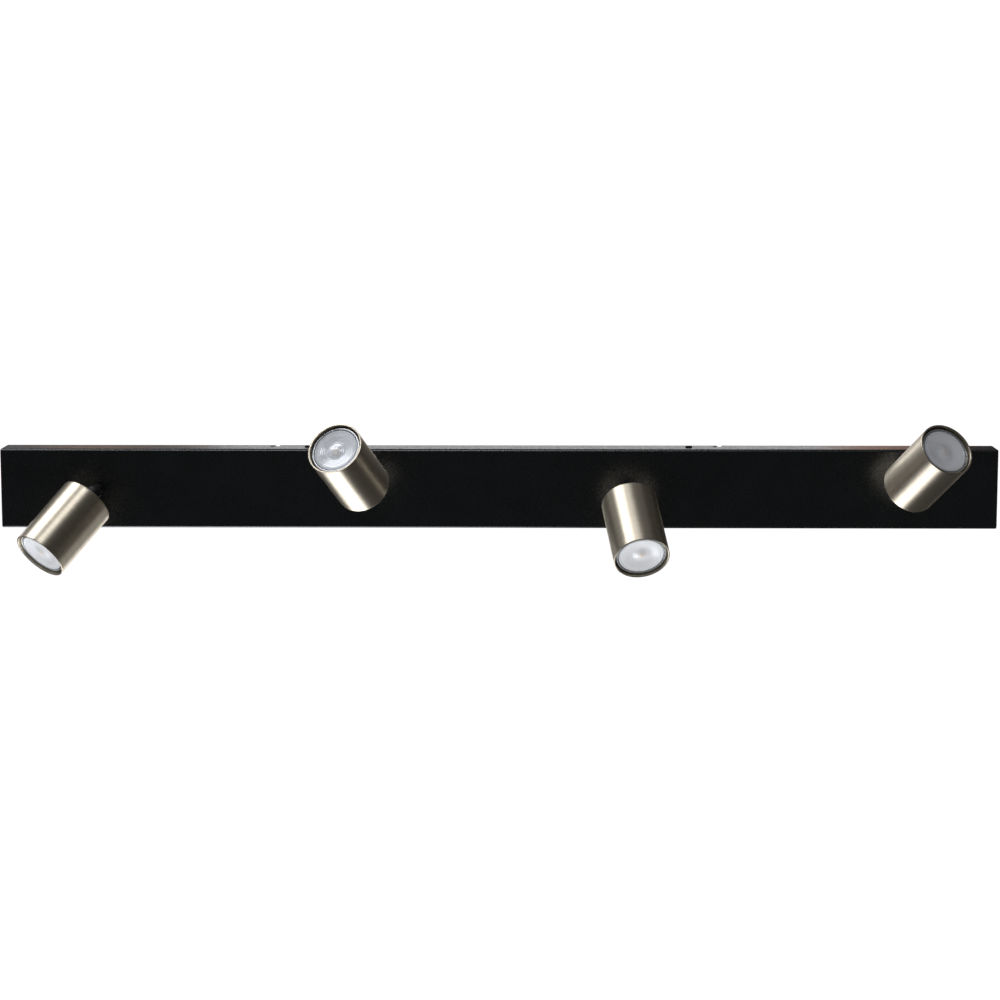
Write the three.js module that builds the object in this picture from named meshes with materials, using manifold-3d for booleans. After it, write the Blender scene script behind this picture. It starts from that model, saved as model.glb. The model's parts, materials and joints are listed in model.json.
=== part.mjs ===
// A surface-mounted spotlight bar: a folded sheet-metal canopy with four round spot heads on swivel stems.
// Millimetres. +X runs along the bar, +Z is up, and the spots face -Y. The origin is on the wall plane,
// in the middle of the mounting bracket's back face.
import * as THREE from "three";
import { mergeVertices } from "three/addons/utils/BufferGeometryUtils.js";
import Module from "manifold-3d";

// The bar
const BAR_LENGTH = 1000;
const BAR_HEIGHT = 80;
const BAR_DEPTH = 35;
const SHEET = 1.2;
const FOLD_RADIUS = 3;
const GAP = 0.3;
const TOP = BAR_HEIGHT / 2;

// The spots, from the left: where each stem stands on the bar, and its pan and tilt at rest, in degrees.
// Pan is the side the head leans to, from +X towards +Z. Tilt is how far it leans from straight out.
const OUTER_SPOT = 401;
const INNER_SPOT = 128.5;
const SPOTS = [
  { x: -OUTER_SPOT, pan: -129.6, tilt: 54.8 },
  { x: -INNER_SPOT, pan: 117.7, tilt: 42.2 },
  { x: INNER_SPOT, pan: -77.0, tilt: 38.9 },
  { x: OUTER_SPOT, pan: 57.8, tilt: 44.0 },
];

// The swivel joint of a spot
const STEM_RADIUS = 5;
const SPIGOT_RADIUS = 4;
const LEAD_BORE_RADIUS = 2;
const TONGUE_HALF = 2.7;
const PIVOT_REACH = 32; // from the bar's front face to the tilt axis
const SHOULDER_REACH = 9; // from the tilt axis back to where the stem turns round
const PIN_RADIUS = 2;
const BOSS_RADIUS = 7.5;
const BOSS_END = 4.5; // the boss's end, behind the tilt axis
const BOSS_ROUND = 4;
const SLOT_DEPTH = 5.5; // the slot's floor, ahead of the tilt axis
const NUT_FLATS = 13;
const NUT_HEIGHT = 4;

// The head, measured forwards from the tilt axis
const HEAD_RADIUS = 27.5;
const HEAD_REAR = 11;
const HEAD_LENGTH = 77;
const HEAD_FRONT = HEAD_REAR + HEAD_LENGTH;
const HEAD_WALL = 1.5;
const HEAD_EDGE = 2;
const STRAP = 1;
const HOLDER_RADIUS = 14;
const HOLDER_REAR = 19.6;
const HOLDER_FRONT = 30.6;
const LAMP_REAR = 31;
const LAMP_FRONT = HEAD_FRONT - 2.6;
const LAMP_PIN_SPACING = 10;
const LENS_RADIUS = 22.2;

// The mounting bracket behind the canopy
const BRACKET_HALF = 236;
const BRACKET_HALF_HEIGHT = 18;
const BRACKET_SHEET = 1.5;
const EAR_INNER_X = 180;
const EAR_DEPTH = 20;
const EAR_TOP = TOP - SHEET - 0.4;
const WALL_SLOT_X = 130;
const WALL_SLOT = { length: 14, width: 5.2 };
const CABLE_HOLE = { x: 40, radius: 8 };
const EARTH_X = 75;
const SIDE_SCREW = { x: 192, y: -15, radius: 2, headRadius: 3.4, headHeight: 1, end: 31 };
const HOOK = { x: 223.5, y: -8, width: 4.4, run: 5 };
const STUD_RADIUS = 1.6;
const TERMINAL = { x: -45, length: 32, width: 18, poles: 3 };

const COLOURS = {
  black: { color: 0x101214, roughness: 0.42, metalness: 0.2 },
  nickel: { color: 0xb9b2a6, roughness: 0.32, metalness: 1 },
  steel: { color: 0x9a9c9e, roughness: 0.45, metalness: 0.9 },
  brass: { color: 0xb08d4a, roughness: 0.35, metalness: 1 },
  ceramic: { color: 0xe8e4da, roughness: 0.6, metalness: 0 },
  lamp: { color: 0xd9dbdc, roughness: 0.4, metalness: 0.1 },
  lens: { color: 0xdfe8f4, roughness: 0.12, metalness: 0 },
  rubber: { color: 0x1a1a1a, roughness: 0.9, metalness: 0 },
  nylon: { color: 0xf0efe8, roughness: 0.5, metalness: 0 },
  lead: { color: 0xdededa, roughness: 0.55, metalness: 0 },
};

// How many sides a round shape gets
const SHELL = 36;
const FINE = 16;
const SMALL = 12;
const TINY = 8;

const wasm = await Module();
wasm.setup();

// A closed three.js geometry as a solid that can be cut and joined.
function solid(geometry) {
  const bare = geometry.clone();
  bare.deleteAttribute("normal");
  bare.deleteAttribute("uv");
  const merged = mergeVertices(bare, 1e-4);
  return new wasm.Manifold(
    new wasm.Mesh({
      numProp: 3,
      vertProperties: merged.attributes.position.array,
      triVerts: new Uint32Array(merged.index.array),
    }),
  );
}

// A solid as a three.js geometry again.
function shape(made) {
  const { vertProperties, triVerts } = made.getMesh();
  const geometry = new THREE.BufferGeometry();
  geometry.setAttribute("position", new THREE.BufferAttribute(vertProperties, 3));
  geometry.setIndex(new THREE.BufferAttribute(triVerts, 1));
  return geometry;
}

function cut(body, cutters) {
  return cutters.reduce((left, cutter) => left.subtract(cutter), body);
}

function join(pieces) {
  return pieces.reduce((sum, piece) => sum.add(piece));
}

// A block between two corners, each given as [x, y, z].
function block(low, high) {
  const size = high.map((value, axis) => value - low[axis]);
  const geometry = new THREE.BoxGeometry(...size);
  geometry.translate(...low.map((value, axis) => value + size[axis] / 2));
  return solid(geometry);
}

// A round bar between two heights along Y, with its axis at x, z.
function barY(radius, y0, y1, x = 0, z = 0, sides = FINE) {
  const geometry = new THREE.CylinderGeometry(radius, radius, Math.abs(y1 - y0), sides);
  geometry.translate(x, (y0 + y1) / 2, z);
  return solid(geometry);
}

// A round bar between two heights along Z, with its axis at x, y.
function barZ(radius, z0, z1, x = 0, y = 0, sides = SMALL) {
  const geometry = new THREE.CylinderGeometry(radius, radius, Math.abs(z1 - z0), sides);
  geometry.rotateX(Math.PI / 2);
  geometry.translate(x, y, (z0 + z1) / 2);
  return solid(geometry);
}

// A body of revolution round the Y axis from points [radius, y], listed with y rising up the outside.
function turned(points, sides) {
  return solid(new THREE.LatheGeometry(points.map(([r, y]) => new THREE.Vector2(r, y)), sides));
}

// Points on a quarter-round or any other arc, from one angle to another, in degrees.
function arc(centreR, centreY, radius, from, to, steps) {
  return Array.from({ length: steps + 1 }, (_, step) => {
    const angle = THREE.MathUtils.degToRad(from + ((to - from) * step) / steps);
    return [centreR + radius * Math.cos(angle), centreY + radius * Math.sin(angle)];
  });
}

// A hexagon nut with a clear hole, standing along Y between two heights.
function nut(y0, y1) {
  const corner = NUT_FLATS / Math.sqrt(3);
  return cut(barY(corner, y0, y1, 0, 0, 6), [barY(SPIGOT_RADIUS + GAP, y0 - 1, y1 + 1)]);
}

function piece(name, made, finish) {
  const mesh = new THREE.Mesh(shape(made), new THREE.MeshStandardMaterial(COLOURS[finish]));
  mesh.name = name;
  return mesh;
}

const SIDES = [-1, 1];

// The canopy: a five-sided sheet-metal tray, open to the wall.
function tray(inset, radius) {
  const front = -BAR_DEPTH + inset;
  const half = TOP - inset;
  const outline = new THREE.Shape();
  outline.moveTo(inset, -half);
  outline.lineTo(inset, half);
  outline.lineTo(front + radius, half);
  outline.absarc(front + radius, half - radius, radius, Math.PI / 2, Math.PI);
  outline.lineTo(front, -half + radius);
  outline.absarc(front + radius, -half + radius, radius, Math.PI, Math.PI * 1.5);
  const length = BAR_LENGTH - 2 * inset;
  const geometry = new THREE.ExtrudeGeometry(outline, {
    depth: length,
    bevelEnabled: false,
    curveSegments: 4,
  });
  // The outline lies in (y, z) and is swept along x.
  geometry.applyMatrix4(
    new THREE.Matrix4().makeBasis(
      new THREE.Vector3(0, 1, 0),
      new THREE.Vector3(0, 0, 1),
      new THREE.Vector3(1, 0, 0),
    ),
  );
  geometry.translate(-length / 2, 0, 0);
  return solid(geometry);
}

// A bayonet slot: a way in from the rim, then a run to the left that hooks over a stud on the bracket.
function hookSlot(centreX, side) {
  const half = HOOK.width / 2;
  const walls = side > 0 ? [TOP - SHEET - 1, TOP + 1] : [-TOP - 1, -TOP + SHEET + 1];
  const low = Math.min(...walls);
  const high = Math.max(...walls);
  return join([
    block([centreX - half, HOOK.y - half, low], [centreX + half, 1, high]),
    block([centreX - HOOK.run, HOOK.y - half, low], [centreX, HOOK.y + half, high]),
    barZ(half, low, high, centreX - HOOK.run, HOOK.y),
  ]);
}

function canopy() {
  const stemHoles = SPOTS.map(({ x }) =>
    barY(SPIGOT_RADIUS + GAP, -BAR_DEPTH - 1, -BAR_DEPTH + SHEET + 1, x),
  );
  const screwHoles = SIDES.map((end) =>
    barZ(SIDE_SCREW.radius + 0.4, -TOP - 1, TOP + 1, end * SIDE_SCREW.x, SIDE_SCREW.y),
  );
  const hooks = SIDES.flatMap((end) => SIDES.map((side) => hookSlot(end * HOOK.x, side)));
  return cut(tray(0, FOLD_RADIUS), [
    tray(SHEET, FOLD_RADIUS - SHEET),
    ...stemHoles,
    ...screwHoles,
    ...hooks,
  ]);
}

// The wall bracket: a flat strip with an ear folded forward at each corner.
function ear(end, side) {
  const x = [end * EAR_INNER_X, end * BRACKET_HALF].sort((a, b) => a - b);
  const z = [side * (EAR_TOP - BRACKET_SHEET), side * EAR_TOP].sort((a, b) => a - b);
  const arm = [side * (BRACKET_HALF_HEIGHT - 1), side * EAR_TOP].sort((a, b) => a - b);
  const studX = end * HOOK.x - HOOK.run;
  return cut(
    join([
      block([x[0], -BRACKET_SHEET, arm[0]], [x[1], 0, arm[1]]),
      block([x[0], -EAR_DEPTH, z[0]], [x[1], 0, z[1]]),
      barZ(STUD_RADIUS, side * (EAR_TOP - 1), side * (TOP + 0.6), studX, HOOK.y),
    ]),
    [barZ(SIDE_SCREW.radius + GAP, z[0] - 1, z[1] + 1, end * SIDE_SCREW.x, SIDE_SCREW.y)],
  );
}

function wallSlot(x) {
  const half = WALL_SLOT.width / 2;
  const reach = WALL_SLOT.length / 2 - half;
  return join([
    block([x - reach, -BRACKET_SHEET - 1, -half], [x + reach, 1, half]),
    ...SIDES.map((end) => barY(half, -BRACKET_SHEET - 1, 1, x + end * reach, 0, SMALL)),
  ]);
}

function bracket() {
  const strip = block(
    [-BRACKET_HALF, -BRACKET_SHEET, -BRACKET_HALF_HEIGHT],
    [BRACKET_HALF, 0, BRACKET_HALF_HEIGHT],
  );
  const ears = SIDES.flatMap((end) => SIDES.map((side) => ear(end, side)));
  return cut(join([strip, ...ears]), [
    ...SIDES.map((end) => wallSlot(end * WALL_SLOT_X)),
    barY(CABLE_HOLE.radius, -BRACKET_SHEET - 1, 1, CABLE_HOLE.x),
    barY(PIN_RADIUS + GAP, -BRACKET_SHEET - 1, 1, EARTH_X, 0, SMALL),
  ]);
}

// The rubber grommet that lines the cable hole in the bracket.
function grommet() {
  const front = -BRACKET_SHEET - GAP;
  const neck = CABLE_HOLE.radius - GAP;
  const profile = [
    [4, -GAP],
    [4, front - 2.5],
    [9, front - 2.5],
    [10, front - 1.5],
    [10, front],
    [neck, front],
    [neck, -GAP],
    [4, -GAP],
  ];
  return turned(profile, FINE).translate([CABLE_HOLE.x, 0, 0]);
}

// The connector strip: one tower with a screw well for each pole, and a wire way through each tower.
function terminalBlock() {
  const back = -BRACKET_SHEET - GAP;
  const low = TERMINAL.x - TERMINAL.length / 2;
  const half = TERMINAL.width / 2;
  const pitch = TERMINAL.length / TERMINAL.poles;
  const base = block([low, back - 6, -half], [low + TERMINAL.length, back, half]);
  const centres = Array.from({ length: TERMINAL.poles }, (_, pole) => low + pitch * (pole + 0.5));
  const towers = centres.map((x) => block([x - 4, back - 16, -half + 1], [x + 4, back - 5, half - 1]));
  const wells = centres.flatMap((x) =>
    SIDES.map((side) => barY(1.8, back - 20, back - 11, x, side * 4.5, TINY)),
  );
  const ways = centres.map((x) => barZ(1.6, -half - 1, half + 1, x, back - 9, TINY));
  return cut(join([base, ...towers]), [...wells, ...ways]);
}

function earthScrew() {
  const front = -BRACKET_SHEET - GAP;
  return cut(
    join([barY(PIN_RADIUS, -GAP, front - 1, EARTH_X, 0, SMALL), barY(3.8, front, front - 2.4, EARTH_X)]),
    [block([EARTH_X - 5, front - 3, -0.5], [EARTH_X + 5, front - 1.4, 0.5])],
  );
}

// A screw through the side of the canopy into an ear of the bracket.
function sideScrew(end, side) {
  const x = end * SIDE_SCREW.x;
  const under = TOP + GAP;
  const crown = under + SIDE_SCREW.headHeight;
  return cut(
    join([
      barZ(SIDE_SCREW.radius, side * SIDE_SCREW.end, side * (under + 0.5), x, SIDE_SCREW.y, TINY),
      barZ(SIDE_SCREW.headRadius, side * under, side * crown, x, SIDE_SCREW.y, FINE),
    ]),
    [
      barZ(1.3, side * (crown - 0.6), side * (crown + 1), x, SIDE_SCREW.y, 6),
    ],
  );
}

// The stem of a spot, in the swivel's own frame: y = 0 is the bar's front face, and the spot is at -y.
function stem() {
  const tip = SHEET + 7.3;
  const shoulder = -PIVOT_REACH + SHOULDER_REACH;
  const round = turned(
    [
      [0, shoulder - 1],
      [STEM_RADIUS - 1.6, shoulder - 1],
      [STEM_RADIUS, shoulder + 0.6],
      [STEM_RADIUS, -GAP],
      [SPIGOT_RADIUS, -GAP],
      [SPIGOT_RADIUS, tip],
      [0, tip],
    ],
    FINE + 4,
  );
  const tongue = join([
    block(
      [-STEM_RADIUS, -PIVOT_REACH, -TONGUE_HALF],
      [STEM_RADIUS, shoulder, TONGUE_HALF],
    ),
    barZ(STEM_RADIUS, -TONGUE_HALF, TONGUE_HALF, 0, -PIVOT_REACH, FINE),
  ]);
  const leadExit = new THREE.CylinderGeometry(LEAD_BORE_RADIUS, LEAD_BORE_RADIUS, 10, TINY);
  leadExit.rotateZ(Math.PI / 2);
  leadExit.translate(5, shoulder + 4, 0);
  return cut(join([round, tongue]), [
    barY(LEAD_BORE_RADIUS, shoulder + 3, tip + 1, 0, 0, TINY),
    solid(leadExit),
    barZ(PIN_RADIUS + GAP, -TONGUE_HALF - 1, TONGUE_HALF + 1, 0, -PIVOT_REACH),
  ]);
}

function stemWasher() {
  const back = SHEET + GAP;
  return cut(barY(8, back, back + 1), [
    barY(SPIGOT_RADIUS + GAP, back - 1, back + 2),
  ]);
}

function stemNut() {
  const back = SHEET + GAP + 1 + GAP;
  return nut(back, back + NUT_HEIGHT);
}

// The pieces of a head, in its own frame: the tilt axis is Z through the origin, and the beam goes to -y.

// The clevis at the back of the head. Its slot is open behind and towards +x, and the wall that closes
// the other side stops the head when it points straight out.
function clevis() {
  const spigotTip = -HOLDER_REAR + 0.6;
  const boss = turned(
    [
      [0, spigotTip],
      [SPIGOT_RADIUS, spigotTip],
      [SPIGOT_RADIUS, -HEAD_REAR + GAP],
      [BOSS_RADIUS, -HEAD_REAR + GAP],
      ...arc(BOSS_RADIUS - BOSS_ROUND, BOSS_END - BOSS_ROUND, BOSS_ROUND, 0, 90, 3),
      [0, BOSS_END],
    ],
    FINE + 4,
  );
  const half = TONGUE_HALF + GAP;
  return cut(boss, [
    block([-STEM_RADIUS - 0.4, -SLOT_DEPTH, -half], [BOSS_RADIUS + 1, BOSS_END + 1, half]),
    barZ(PIN_RADIUS + GAP, -BOSS_RADIUS - 1, BOSS_RADIUS + 1),
    barZ(3.6, 5.7, BOSS_RADIUS + 1),
    barY(LEAD_BORE_RADIUS, spigotTip - 1, -SLOT_DEPTH + 1, 0, 0, TINY),
  ]);
}

function hingePin() {
  return cut(join([barZ(PIN_RADIUS, -6.8, 6.5), barZ(3.2, 6, 6.9)]), [
    barZ(1.2, 6.4, 8, 0, 0, 6),
  ]);
}

// The head's shell: one deep-drawn can with a ring of vent holes in its back.
function housing() {
  const inner = HEAD_RADIUS - HEAD_WALL;
  const edgeY = -HEAD_REAR - HEAD_EDGE;
  const can = turned(
    [
      [SPIGOT_RADIUS + GAP, -HEAD_REAR],
      [SPIGOT_RADIUS + GAP, -HEAD_REAR - HEAD_WALL],
      [inner, -HEAD_REAR - HEAD_WALL],
      [inner, -HEAD_FRONT],
      [HEAD_RADIUS, -HEAD_FRONT],
      ...arc(HEAD_RADIUS - HEAD_EDGE, edgeY, HEAD_EDGE, 0, 90, 2),
      [SPIGOT_RADIUS + GAP, -HEAD_REAR],
    ],
    SHELL,
  );
  const vents = Array.from({ length: 6 }, (_, hole) => {
    const angle = (hole * Math.PI) / 3 + Math.PI / 6;
    return barY(2.2, -HEAD_REAR - 3, -HEAD_REAR + 1, 20 * Math.cos(angle), 20 * Math.sin(angle), TINY);
  });
  return cut(can, vents);
}

// The steel strap that the head's nut clamps, with a leg on each side of the lamp holder.
function holderStrap() {
  const back = -HEAD_REAR - HEAD_WALL - GAP;
  const leg = HOLDER_RADIUS + 0.5;
  const legs = SIDES.map((end) => {
    const x = [end * leg, end * (leg + STRAP)].sort((a, b) => a - b);
    return block([x[0], -HOLDER_FRONT + 2, -6], [x[1], back, 6]);
  });
  return cut(join([block([-leg - STRAP, back - STRAP, -6], [leg + STRAP, back, 6]), ...legs]), [
    barY(SPIGOT_RADIUS + GAP, back - 3, back + 1),
  ]);
}

function knuckleNut() {
  const back = -HEAD_REAR - HEAD_WALL - GAP - STRAP - GAP;
  return nut(back - NUT_HEIGHT, back);
}

// The ceramic lamp holder, with two sockets for the lamp's pins.
function lampHolder() {
  return cut(barY(HOLDER_RADIUS, -HOLDER_REAR, -HOLDER_FRONT), [
    ...SIDES.map((end) =>
      barY(2.9, -HOLDER_FRONT - 1, -HOLDER_REAR - 4, (end * LAMP_PIN_SPACING) / 2, 0, TINY),
    ),
  ]);
}

// The reflector lamp's body: two pins, a neck, a flared heat sink and the rim round its lens.
function lampBody() {
  const body = turned(
    [
      [0, -LAMP_FRONT + 3.3],
      [LENS_RADIUS + 0.4, -LAMP_FRONT + 3.3],
      [LENS_RADIUS + 0.7, -LAMP_FRONT],
      [24.2, -LAMP_FRONT],
      [24.9, -LAMP_FRONT + 1.4],
      [24, -LAMP_FRONT + 9],
      [15.5, -LAMP_REAR - 13],
      [12, -LAMP_REAR - 8],
      [12, -LAMP_REAR],
      [0, -LAMP_REAR],
    ],
    SHELL - 12,
  );
  const pins = SIDES.map((end) =>
    barY(2.4, -LAMP_REAR - 1, -LAMP_REAR + 6, (end * LAMP_PIN_SPACING) / 2, 0, TINY),
  );
  return join([body, ...pins]);
}

function lampLens() {
  const back = -LAMP_FRONT + 3;
  return turned(
    [
      [0, back - 2.3],
      [LENS_RADIUS * 0.6, back - 2.2],
      [LENS_RADIUS, back - 1.4],
      [LENS_RADIUS, back],
      [0, back],
    ],
    SHELL - 12,
  );
}

// A sheathed lead from the connector strip to the back of a stem: up, along its own lane, then forwards.
function lead(startX, endX, lane) {
  const radius = 1.8;
  const laneY = -11;
  const way = Math.sign(endX - startX);
  const stemBack = -BAR_DEPTH + SHEET + 7.3 + GAP;
  const start = TERMINAL.width / 2 + GAP;
  const path = new THREE.CatmullRomCurve3(
    [
      [startX, laneY, start],
      [startX, laneY, start + 2],
      [startX + way * 2, laneY, lane - 2],
      [startX + way * 9, laneY, lane],
      [endX - way * 26, laneY, lane],
      [endX - way * 12, laneY - 1, lane * 0.75],
      [endX - way * 3, laneY - 5, lane * 0.25],
      [endX, stemBack + 4, 0],
      [endX, stemBack, 0],
    ].map((point) => new THREE.Vector3(...point)),
    false,
    "centripetal",
  );
  const section = new THREE.Shape();
  section.absarc(0, 0, radius, 0, Math.PI * 2);
  return solid(
    new THREE.ExtrudeGeometry(section, {
      extrudePath: path,
      steps: Math.round(path.getLength() / (6 * radius)),
      curveSegments: 4,
      bevelEnabled: false,
    }),
  );
}

const group = new THREE.Group();
group.add(
  piece("canopy", canopy(), "black"),
  piece("mounting_bracket", bracket(), "steel"),
  piece("cable_grommet", grommet(), "rubber"),
  piece("terminal_block", terminalBlock(), "nylon"),
  piece("earth_screw", earthScrew(), "brass"),
);

SIDES.forEach((end) =>
  SIDES.forEach((side) => {
    const name = `side_screw_${end < 0 ? "left" : "right"}_${side < 0 ? "bottom" : "top"}`;
    group.add(piece(name, sideScrew(end, side), "black"));
  }),
);

// The outer leads take the higher lane, so that none crosses another.
const LEAD_STARTS = [-50, -57, -33, -40];
SPOTS.forEach(({ x }, index) => {
  const lane = Math.abs(x) === OUTER_SPOT ? 25 : 17;
  group.add(piece(`spot_lead_${index + 1}`, lead(LEAD_STARTS[index], x, lane), "lead"));
});

// Each spot is a swivel group that pans on the bar, with a head group inside it that tilts.
SPOTS.forEach(({ x, pan, tilt }, index) => {
  const label = (part) => `${part}_${index + 1}`;
  const swivel = new THREE.Group();
  swivel.position.set(x, -BAR_DEPTH, 0);
  swivel.rotation.y = -THREE.MathUtils.degToRad(pan);
  swivel.add(
    piece(label("stem"), stem(), "black"),
    piece(label("stem_washer"), stemWasher(), "steel"),
    piece(label("stem_nut"), stemNut(), "steel"),
  );
  const head = new THREE.Group();
  head.position.set(0, -PIVOT_REACH, 0);
  head.rotation.z = THREE.MathUtils.degToRad(tilt);
  head.add(
    piece(label("clevis"), clevis(), "black"),
    piece(label("hinge_pin"), hingePin(), "steel"),
    piece(label("housing"), housing(), "nickel"),
    piece(label("holder_strap"), holderStrap(), "steel"),
    piece(label("knuckle_nut"), knuckleNut(), "steel"),
    piece(label("lamp_holder"), lampHolder(), "ceramic"),
    piece(label("lamp_body"), lampBody(), "lamp"),
    piece(label("lamp_lens"), lampLens(), "lens"),
  );
  swivel.add(head);
  group.add(swivel);
});

export default group;
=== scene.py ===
"""The looks of a four-spot lighting bar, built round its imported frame.

Blender works in metres. The lengths of pieces are in millimetres, as the part's own dimensions are, and turn
into metres when a mesh is made. The studio and the camera are in metres. +X runs along the bar, +Z is up
and the spots face -Y.
"""
import json
import math

import bmesh
import bpy
from mathutils import Matrix, Vector


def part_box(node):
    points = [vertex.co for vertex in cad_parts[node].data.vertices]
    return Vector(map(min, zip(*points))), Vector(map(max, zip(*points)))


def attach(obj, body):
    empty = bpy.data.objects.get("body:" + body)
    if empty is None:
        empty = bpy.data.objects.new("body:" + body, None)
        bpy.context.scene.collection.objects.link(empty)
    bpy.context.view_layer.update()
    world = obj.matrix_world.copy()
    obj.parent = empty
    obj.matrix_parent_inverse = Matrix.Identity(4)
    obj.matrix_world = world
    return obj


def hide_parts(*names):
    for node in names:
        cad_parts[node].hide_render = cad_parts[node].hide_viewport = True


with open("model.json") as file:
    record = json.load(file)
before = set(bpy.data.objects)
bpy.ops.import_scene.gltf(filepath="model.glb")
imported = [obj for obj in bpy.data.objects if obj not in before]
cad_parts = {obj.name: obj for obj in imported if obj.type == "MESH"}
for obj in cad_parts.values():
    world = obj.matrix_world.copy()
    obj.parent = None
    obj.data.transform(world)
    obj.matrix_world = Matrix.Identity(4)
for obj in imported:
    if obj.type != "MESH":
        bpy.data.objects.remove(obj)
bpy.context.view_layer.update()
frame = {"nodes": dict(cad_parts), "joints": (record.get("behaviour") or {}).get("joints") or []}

MM = 0.001
SIDES = (-1, 1)
CREASE = math.radians(33)
scene = bpy.context.scene


# ---------------------------------------------------------------- places taken from the frame

def millimetres(node):
    """A CAD node's lowest and highest corners, in millimetres."""
    low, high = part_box(node)
    return low / MM, high / MM


bar_low, bar_high = millimetres("canopy")
BAR_HALF = bar_high.x
TOP = bar_high.z
FRONT = bar_low.y
SPOTS = range(1, 5)
joints = {joint["name"]: joint for joint in frame["joints"]}
spot_x = [joints[f"pan_{number}"]["pos_m"][0] / MM for number in SPOTS]


def spot_places(number):
    """The swivel's and the head's own frames, as matrices, from the two joints of a spot."""
    pan, tilt = joints[f"pan_{number}"], joints[f"tilt_{number}"]
    hinge = Vector(tilt["axis"]).normalized()
    behind = -Vector(pan["axis"]).normalized()
    swivel = turned_frame(behind.cross(hinge), behind, hinge, pan["pos_m"])
    lean = Matrix.Rotation(-math.radians(tilt["range_deg"][0]), 4, "Z")
    head = Matrix.Translation(Vector(tilt["pos_m"])) @ swivel.to_3x3().to_4x4() @ lean
    return swivel, head


def turned_frame(x_axis, y_axis, z_axis, origin):
    """A frame at an origin, in metres, with three given axes."""
    turn = Matrix((x_axis, y_axis, z_axis)).transposed().to_4x4()
    return Matrix.Translation(Vector(origin)) @ turn


# ---------------------------------------------------------------- meshes

def rounded(points, closed=False, steps=5):
    """An outline of (a, b) or (a, b, radius) points, with an arc at each corner that has a radius."""
    outline = []
    for index, point in enumerate(points):
        here = Vector(point[:2])
        is_end = not closed and index in (0, len(points) - 1)
        if len(point) < 3 or is_end:
            outline.append(here)
            continue
        back = (Vector(points[index - 1][:2]) - here).normalized()
        ahead = (Vector(points[(index + 1) % len(points)][:2]) - here).normalized()
        half = back.angle(ahead) / 2
        centre = here + (back + ahead).normalized() * point[2] / math.sin(half)
        start = here + back * point[2] / math.tan(half) - centre
        end = here + ahead * point[2] / math.tan(half) - centre
        sweep = start.angle_signed(end)
        for step in range(steps + 1):
            arm = start.copy()
            arm.rotate(Matrix.Rotation(-sweep * step / steps, 2))
            outline.append(centre + arm)
    return outline


def finished(work, name):
    """A bmesh in millimetres as a smooth-shaded mesh in metres, sharp only at its real edges."""
    bmesh.ops.recalc_face_normals(work, faces=work.faces)
    for face in work.faces:
        face.smooth = True
    bmesh.ops.scale(work, vec=(MM, MM, MM), verts=work.verts)
    mesh = bpy.data.meshes.new(name)
    work.to_mesh(mesh)
    work.free()
    mesh.set_sharp_from_angle(angle=CREASE)
    return mesh


def turned(points, sides=96, closed=False, steps=5):
    """A mesh turned round the Y axis from (radius, y) points. An open outline starts and ends on it."""
    work = bmesh.new()
    rings = []
    for radius, y in rounded(points, closed, steps):
        if radius < 1e-6:
            rings.append([work.verts.new((0, y, 0))])
            continue
        angles = [2 * math.pi * side / sides for side in range(sides)]
        ring = [(radius * math.cos(a), y, radius * math.sin(a)) for a in angles]
        rings.append([work.verts.new(place) for place in ring])
    pairs = list(zip(rings, rings[1:]))
    if closed:
        pairs.append((rings[-1], rings[0]))
    for first, second in pairs:
        for side in range(sides):
            following = (side + 1) % sides
            corners = [first[side % len(first)], first[following % len(first)]]
            corners += [second[following % len(second)], second[side % len(second)]]
            distinct = list(dict.fromkeys(corners))
            if len(distinct) > 2:
                work.faces.new(distinct)
    return finished(work, "turned")


def block(low, high, edge=0.0, steps=2):
    """A box between two corners, with its edges rounded."""
    work = bmesh.new()
    bmesh.ops.create_cube(work, size=1)
    low, high = Vector(low), Vector(high)
    bmesh.ops.scale(work, vec=high - low, verts=work.verts)
    bmesh.ops.translate(work, vec=(low + high) / 2, verts=work.verts)
    if edge:
        bmesh.ops.bevel(
            work, geom=work.edges[:], offset=edge, segments=steps, profile=0.5, affect="EDGES")
    return finished(work, "block")


def rod(radius, start, end, axis="Y", at=(0, 0), sides=48):
    """A plain round bar between two places along an axis. at gives its place across, in x, y, z order."""
    mesh = turned([(0, start), (radius, start), (radius, end), (0, end)], sides)
    turns = {"Y": Matrix.Identity(4), "X": Matrix.Rotation(-math.pi / 2, 4, "Z"),
             "Z": Matrix.Rotation(math.pi / 2, 4, "X")}
    across = {"Y": (at[0], 0, at[1]), "X": (0, at[0], at[1]), "Z": (at[0], at[1], 0)}
    mesh.transform(Matrix.Translation(Vector(across[axis]) * MM) @ turns[axis])
    return mesh


def evaluated(holder):
    """The mesh that an object makes, its modifiers or curve settings included."""
    return bpy.data.meshes.new_from_object(holder.evaluated_get(bpy.context.evaluated_depsgraph_get()))


def combined(base, tools, operation):
    """Cuts tools from a mesh (DIFFERENCE), joins them to it (UNION), or keeps what both fill (INTERSECT)."""
    work = bpy.data.objects.new("work", base)
    scene.collection.objects.link(work)
    helpers = []
    for tool in tools:
        helper = bpy.data.objects.new("tool", tool)
        scene.collection.objects.link(helper)
        modifier = work.modifiers.new("boolean", "BOOLEAN")
        modifier.object = helper
        modifier.operation = operation
        modifier.solver = "EXACT"
        helpers.append(helper)
    result = evaluated(work)
    for helper in [work, *helpers]:
        bpy.data.objects.remove(helper)
    result.materials.clear()
    result.shade_smooth()
    result.set_sharp_from_angle(angle=CREASE)
    return result


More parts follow.
